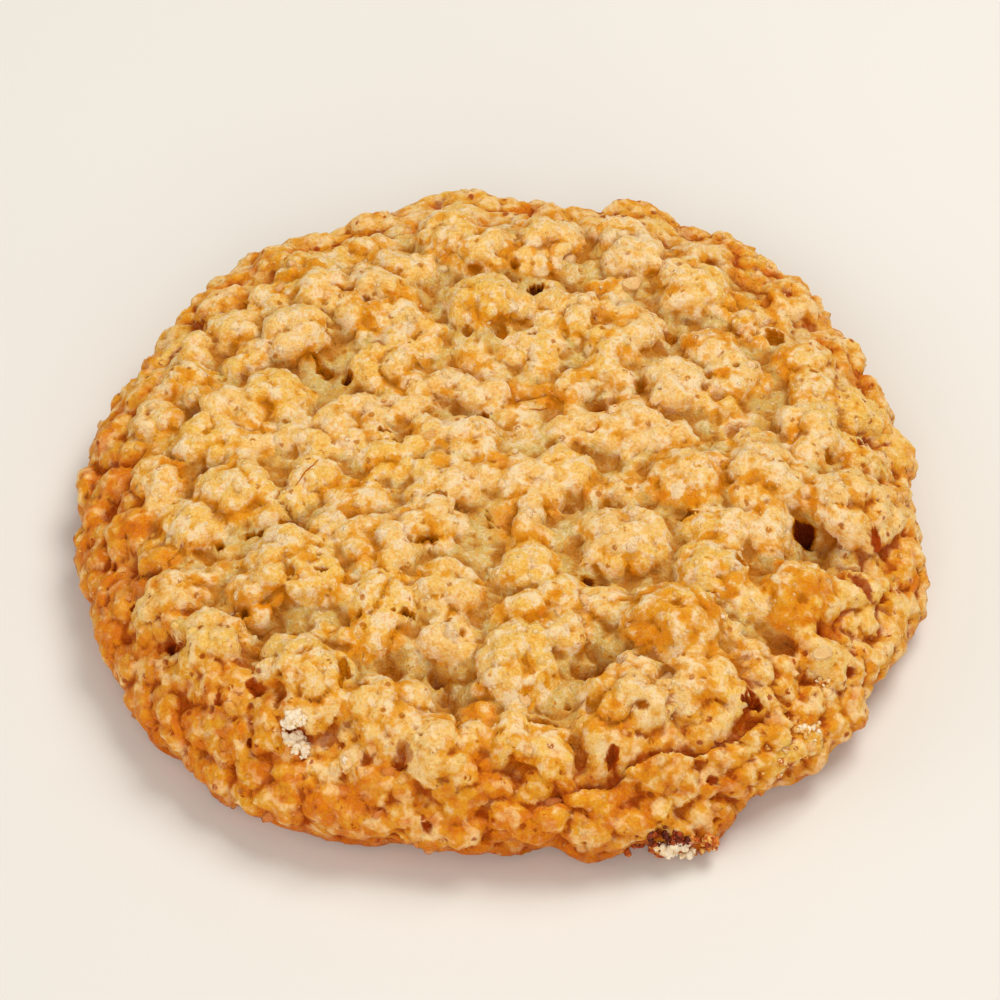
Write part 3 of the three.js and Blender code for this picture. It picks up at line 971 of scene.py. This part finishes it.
def grain_crowd(build):
    """Grains lie in smaller drifts, as thick in the middle as at the edge."""
    drift = build.between(build.noise(build.spot(), 0.004), 0.45, 0.65, 0.1, 1.0)
    return build.product(open_dough(build), drift)


def scatter(name, shapes, tree, values):
    """Make one piece of scattered shapes on the finished dough."""
    group = bpy.data.collections.new(name + "_shapes")
    for shape in shapes:
        bpy.context.scene.collection.objects.unlink(shape)
        group.objects.link(shape)
    piece = new_piece(name, bpy.data.meshes.new(name))
    grow(piece, tree, {**values, "Dough": bpy.data.objects["dough"], "Shapes": group})
    drop(group.objects)
    bpy.data.collections.remove(group)
    keep(piece)


class COOKIE_OT_nubs(bpy.types.Operator):
    """Raise small rounded nubs of dough over the cookie"""
    bl_idname = "cookie.nubs"
    bl_label = "Dough nubs"

    def execute(self, context):
        settings = context.scene.cookie
        sizes = settings.scatter
        finish = crust_finish("dough nub", settings.crust, settings.crust.flour, 0.35, 0.03)
        scatter("dough_nubs", variants_of("dough_nubs_shape", pebble, 7, 200),
                scatter_tree("Lay nubs", 0.5, -0.30, nub_crowd), {
                    "Thickness of cover": float(sizes.nubs), "Nearest": 0.0010,
                    "Size": sizes.nub_size, "Seed": sizes.seed + 1, "Finish": finish})
        return {"FINISHED"}


class COOKIE_OT_grains(bpy.types.Operator):
    """Sprinkle fine crumbs and sugar grains in the surface"""
    bl_idname = "cookie.grains"
    bl_label = "Fine grains"

    def execute(self, context):
        settings = context.scene.cookie
        sizes = settings.scatter
        finish = crust_finish("fine grain", settings.crust, settings.crust.oat, 0.8, 0.05)
        scatter("fine_grains", variants_of("fine_grains_shape", grain, 5, 300),
                scatter_tree("Lay grains", 0.9, -0.15, grain_crowd), {
                    "Thickness of cover": float(sizes.grains), "Nearest": 0.0004,
                    "Size": sizes.grain_size, "Seed": sizes.seed + 2, "Finish": finish})
        return {"FINISHED"}


# ---------------------------------------------------------------- crumbs and husks

# A height in mm well above the cookie, from which a place is dropped onto its top
ABOVE = 25.0
# Heaps of crumbs: across, towards the back and up, reach, height, number and width of a
# crumb in mm, and their tone from 0 for dark brown to 1 for white
PALE_HEAPS = (
    (-23.6, -39.5, ABOVE, 1.4, 0.9, 260, 0.66, 0.98),
    (-22.9, -40.7, ABOVE, 1.1, 0.6, 130, 0.6, 0.98),
    (19.4, -51.2, 3.0, 2.0, 0.8, 230, 0.62, 0.98),
    (22.0, -51.4, 2.4, 1.4, 0.6, 120, 0.60, 0.98),
    (-17.6, -43.6, ABOVE, 0.5, 0.2, 12, 0.6, 0.80),
    (25.8, -25.6, ABOVE, 0.4, 0.2, 9, 0.5, 0.80),
    (34.8, -36.0, 8.0, 1.8, 0.3, 70, 0.60, 0.78),
    (31.2, -39.0, 7.0, 1.5, 0.2, 34, 0.55, 0.70),
    (37.2, -30.6, ABOVE, 1.0, 0.1, 10, 0.5, 0.74),
)
BROWN_HEAPS = (
    (19.4, -50.4, 4.2, 2.8, 0.2, 130, 0.65, 0.12),
    (17.2, -50.8, 1.6, 1.7, 0.5, 150, 0.62, 0.42),
    (25.0, -50.6, 1.8, 2.0, 0.7, 220, 0.62, 0.55),
    (23.4, -50.2, 3.4, 1.6, 0.5, 110, 0.6, 0.48),
)
# Oat flakes that show: across and towards the back in mm, length as a share of a whole
# flake, turn in degrees and how much of the thickness is out of the dough
FLAKES = (
    (19.2, -33.3, 0.60, 20, 0.40), (37.2, -28.7, 0.50, -25, 0.20),
    (2.7, -36.2, 0.55, 60, 0.30), (16.0, 28.0, 0.55, 110, 0.30),
    (-17.6, -43.4, 0.40, 80, 0.30),
)
# Husks: start and end across and towards the back, and width, in mm
HUSKS = (
    (-24.3, -6.0, -21.6, -2.3, 0.22), (23.0, -22.5, 25.1, -22.1, 0.28),
    (33.0, -25.8, 34.4, -28.0, 0.24), (3.4, 7.2, 5.6, 8.0, 0.24),
    (-8.6, -7.9, -6.6, -8.2, 0.2),
)


# Thickness of a flake as a share of its length
FLAKE_THICKNESS = 0.14
# How many cross-sections a husk has
HUSK_SECTIONS = 9
# How far the middle line of a husk rises over its sides, in mm
HUSK_RISE = 0.12


class Joined:
    """Many small closed shapes gathered into one mesh, each with its own tone."""

    def __init__(self):
        self.points = []
        self.faces = []
        self.tones = []

    def add(self, points, faces, tone):
        first = len(self.points)
        self.points += [tuple(point) for point in points]
        self.faces += [tuple(first + corner for corner in face) for face in faces]
        self.tones += [tone] * len(points)

    def piece(self, name, finish):
        mesh = bpy.data.meshes.new(name)
        mesh.from_pydata(self.points, [], self.faces)
        tones = mesh.attributes.new("tone", "FLOAT", "POINT")
        tones.data.foreach_set("value", self.tones)
        mesh.materials.append(finish)
        mesh.shade_smooth()
        keep(new_piece(name, mesh))


def on_dough(place):
    """The dough straight under a high place or nearest to a low one, and the way out."""
    dough = bpy.data.objects["dough"]
    if place.z > COOKIE_TOP:
        found, spot, out, _ = dough.ray_cast(place, -UP)
    else:
        found, spot, out, _ = dough.closest_point_on_mesh(place)
    if not found:
        raise RuntimeError("no dough under a crumb")
    return spot, out


def crumble(name, heaps, finish, seed):
    """Heap rough crumbs of uneven size on the dough, highest in the middle of a heap."""
    rng = random.Random(seed)
    shapes = variants_of(name + "_shape", pebble, 5, seed, 0.36)
    joined = Joined()
    for x, y, z, reach, height, many, width, tone in heaps:
        for _ in range(many):
            push = Vector([rng.uniform(-1, 1) for _ in range(3)])
            push *= rng.random() / max(push.length, 0.3)
            spot, out = on_dough((Vector((x, y, z)) + push * reach) * MM)
            size = width * rng.uniform(0.55, 1.35) * MM
            turn = Vector([rng.uniform(-1, 1) for _ in range(3)]).to_track_quat("Z", "Y")
            rise = height * MM * rng.random() * max(0.0, 1 - push.length ** 2)
            middle = spot + out * (size * rng.uniform(0.0, 0.3) + rise)
            mesh = rng.choice(shapes).data
            points = [middle + turn @ (corner.co * size) for corner in mesh.vertices]
            for point in points:
                point.z = max(point.z, 0.0)
            joined.add(points, [face.vertices for face in mesh.polygons],
                       tone + rng.uniform(-0.20, 0.20))
    drop(shapes)
    joined.piece(name, finish)


def press_flake(joined, shape, x, y, size, turn, out_share):
    """Lay a flake flat on the dough, sunk until only its upper part is out."""
    spot, out = on_dough(Vector((x, y, ABOVE)) * MM)
    tilt = UP.lerp(out, 0.6).to_track_quat("Z", "Y")
    spin = Euler((0.0, 0.0, math.radians(turn))).to_quaternion()
    middle = spot + out * size * (out_share - 0.5) * FLAKE_THICKNESS
    joined.add([middle + tilt @ (spin @ (corner.co * size)) for corner in shape.vertices],
               [face.vertices for face in shape.polygons], 0.5 + out_share * 0.5)


def husk(joined, x0, y0, x1, y1, width):
    """A thin sliver that lies on the dough and tapers to both ends."""
    last = HUSK_SECTIONS - 1
    rows = []
    for section in range(HUSK_SECTIONS):
        share = section / last
        place = Vector((x0 + (x1 - x0) * share, y0 + (y1 - y0) * share, ABOVE)) * MM
        spot, out = on_dough(place)
        side = Vector((y1 - y0, x0 - x1, 0.0)).normalized()
        half = width * MM * 0.5 * (0.15 + math.sin(math.pi * share))
        rise = UP * HUSK_RISE * MM
        rows.append([spot + side * half, spot + rise + out * half * 0.8,
                     spot - side * half, spot - rise])
    points = [point for row in rows for point in row]
    faces = [(0, 1, 2, 3), tuple(reversed([4 * last + k for k in range(4)]))]
    for section in range(last):
        for k in range(4):
            near, far = 4 * section, 4 * section + 4
            faces.append((near + (k + 1) % 4, near + k, far + k, far + (k + 1) % 4))
    joined.add(points, faces, 0.5)


class COOKIE_OT_flakes(bpy.types.Operator):
    """Press the oat flakes that show into the top of the dough"""
    bl_idname = "cookie.flakes"
    bl_label = "Oat flakes"

    def execute(self, context):
        settings = context.scene.cookie
        shapes = variants_of("flake_shape", flake, 5, 100)
        joined = Joined()
        for number, (x, y, size, turn, out_share) in enumerate(FLAKES):
            press_flake(joined, shapes[number % len(shapes)].data, x, y,
                        size * settings.scatter.flake_length, turn, out_share)
        drop(shapes)
        joined.piece("oat_flakes", crust_finish(
            "oat flake", settings.crust, settings.crust.oat, 0.7, 0.06))
        return {"FINISHED"}


class COOKIE_OT_crumbs(bpy.types.Operator):
    """Put the white crumbs, the browned crumbs of the broken foot and the oat husks on"""
    bl_idname = "cookie.crumbs"
    bl_label = "Crumbs and husks"

    def execute(self, context):
        colours = context.scene.cookie.crust
        crumble("white_crumbs", PALE_HEAPS, crumb_finish("white crumb", colours), 400)
        crumble("browned_crumbs", BROWN_HEAPS, crumb_finish("browned crumb", colours), 500)
        joined = Joined()
        for line in HUSKS:
            husk(joined, *line)
        joined.piece("oat_husks", crust_finish("husk", colours, colours.bark, 0.8, 0.05))
        return {"FINISHED"}


# ---------------------------------------------------------------- stage

# The point in the cookie that the lamps and the camera aim at
AIM = Vector((0.0, 0.0, 0.009))
# From the middle of the table to each side, in metres
TABLE_HALF = 1.6
# Width of the camera's sensor in mm and of the picture in pixels
SENSOR = 36.0
PICTURE_WIDTH = 1000
# How many pixels the camera is moved right and up
CAMERA_SHIFT = (-1, -11)
# Lamps: name, width in metres, place and tint
LAMPS = (
    ("key", 0.45, (0.30, 0.30, 0.72), (1.0, 0.97, 0.92)),
    ("fill", 0.7, (0.02, -0.78, 0.48), (1.0, 0.98, 0.96)),
    ("side", 0.5, (-0.75, -0.10, 0.40), (1.0, 0.98, 0.96)),
)


def lamp(name, power, size, place, tint):
    """An area lamp that points at the cookie."""
    data = bpy.data.lights.new(name, "AREA")
    data.energy = power
    data.size = size
    data.color = tint
    holder = bpy.data.objects.new(name, data)
    holder.location = place
    holder.rotation_euler = (AIM - Vector(place)).to_track_quat("-Z", "Y").to_euler()
    bpy.context.scene.collection.objects.link(holder)


def floor_finish(tint):
    """A plain pale finish with faint clouds."""
    material, build, shader, where = start_material("pale table")
    cloud = build.between(build.noise(where, 0.05), 0.3, 0.7, 0.0, 0.06)
    build.fill(shader, {
        "Base Color": build.blend(cloud, tuple(tint), (0.70, 0.66, 0.60, 1.0)),
        "Roughness": 0.6})
    return material


class COOKIE_OT_stage(bpy.types.Operator):
    """Set the table top, the lamps and the camera"""
    bl_idname = "cookie.stage"
    bl_label = "Stage"

    def execute(self, context):
        stage = context.scene.cookie.stage
        half = TABLE_HALF
        mesh = bpy.data.meshes.new("table")
        mesh.from_pydata([(-half, -half, 0), (half, -half, 0), (half, half, 0),
                          (-half, half, 0)], [], [(0, 1, 2, 3)])
        table = new_piece("table", mesh)
        mesh.materials.append(floor_finish(stage.floor))
        for name, size, place, tint in LAMPS:
            lamp(name, getattr(stage, name), size, place, tint)
        world = bpy.data.worlds.new("room")
        world.use_nodes = True
        sky = world.node_tree.nodes["Background"]
        sky.inputs["Color"].default_value = (1.0, 0.98, 0.95, 1.0)
        sky.inputs["Strength"].default_value = stage.sky
        context.scene.world = world
        self.place_camera(context, stage)
        context.scene.view_settings.view_transform = "Standard"
        return {"FINISHED"}

    def place_camera(self, context, stage):
        """Aim the camera so that the cookie sits a little off the middle of the picture."""
        angle = stage.camera_height
        towards = Vector((0.0, -math.cos(angle), math.sin(angle)))
        upward = Vector((0.0, math.sin(angle), math.cos(angle)))
        right, up = (pixels / stage.pixels_per_metre for pixels in CAMERA_SHIFT)
        data = bpy.data.cameras.new("camera")
        data.sensor_width = SENSOR
        data.lens = SENSOR * stage.pixels_per_metre * stage.camera_distance / PICTURE_WIDTH
        data.clip_start = 0.02
        camera = bpy.data.objects.new("camera", data)
        camera.location = (AIM + towards * stage.camera_distance
                           + Vector((right, 0, 0)) + upward * up)
        camera.rotation_euler = (math.pi / 2 - angle, 0.0, 0.0)
        context.scene.collection.objects.link(camera)
        context.scene.camera = camera


# ---------------------------------------------------------------- panel and run

class COOKIE_PT_parts(bpy.types.Panel):
    """Lists the parts of the cookie"""
    bl_idname = "COOKIE_PT_parts"
    bl_label = "Oatmeal cookie"
    bl_space_type = "VIEW_3D"
    bl_region_type = "UI"
    bl_category = "Cookie"

    def draw(self, context):
        settings = context.scene.cookie
        for title, group, operators in (
                ("Dough", settings.dough, ("cookie.dough",)),
                ("Pieces", settings.scatter,
                 ("cookie.flakes", "cookie.nubs", "cookie.grains", "cookie.crumbs")),
                ("Crust", settings.crust, ()),
                ("Stage", settings.stage, ("cookie.stage",))):
            box = self.layout.box()
            box.label(text=title)
            for name in group.__annotations__:
                box.prop(group, name)
            for operator in operators:
                box.operator(operator)


CLASSES = (
    DoughSizes, ScatterSizes, CrustColours, StageSizes, CookieSettings,
    COOKIE_OT_dough, COOKIE_OT_flakes, COOKIE_OT_nubs, COOKIE_OT_grains,
    COOKIE_OT_crumbs, COOKIE_OT_stage, COOKIE_PT_parts,
)


def register():
    for item in CLASSES:
        bpy.utils.register_class(item)
    bpy.types.Scene.cookie = PointerProperty(type=CookieSettings)


def unregister():
    del bpy.types.Scene.cookie
    for item in reversed(CLASSES):
        bpy.utils.unregister_class(item)


def main():
    register()
    bpy.ops.cookie.stage()
    bpy.ops.cookie.dough()
    bpy.ops.cookie.flakes()
    bpy.ops.cookie.nubs()
    bpy.ops.cookie.grains()
    bpy.ops.cookie.crumbs()


if __name__ == "__main__":
    main()
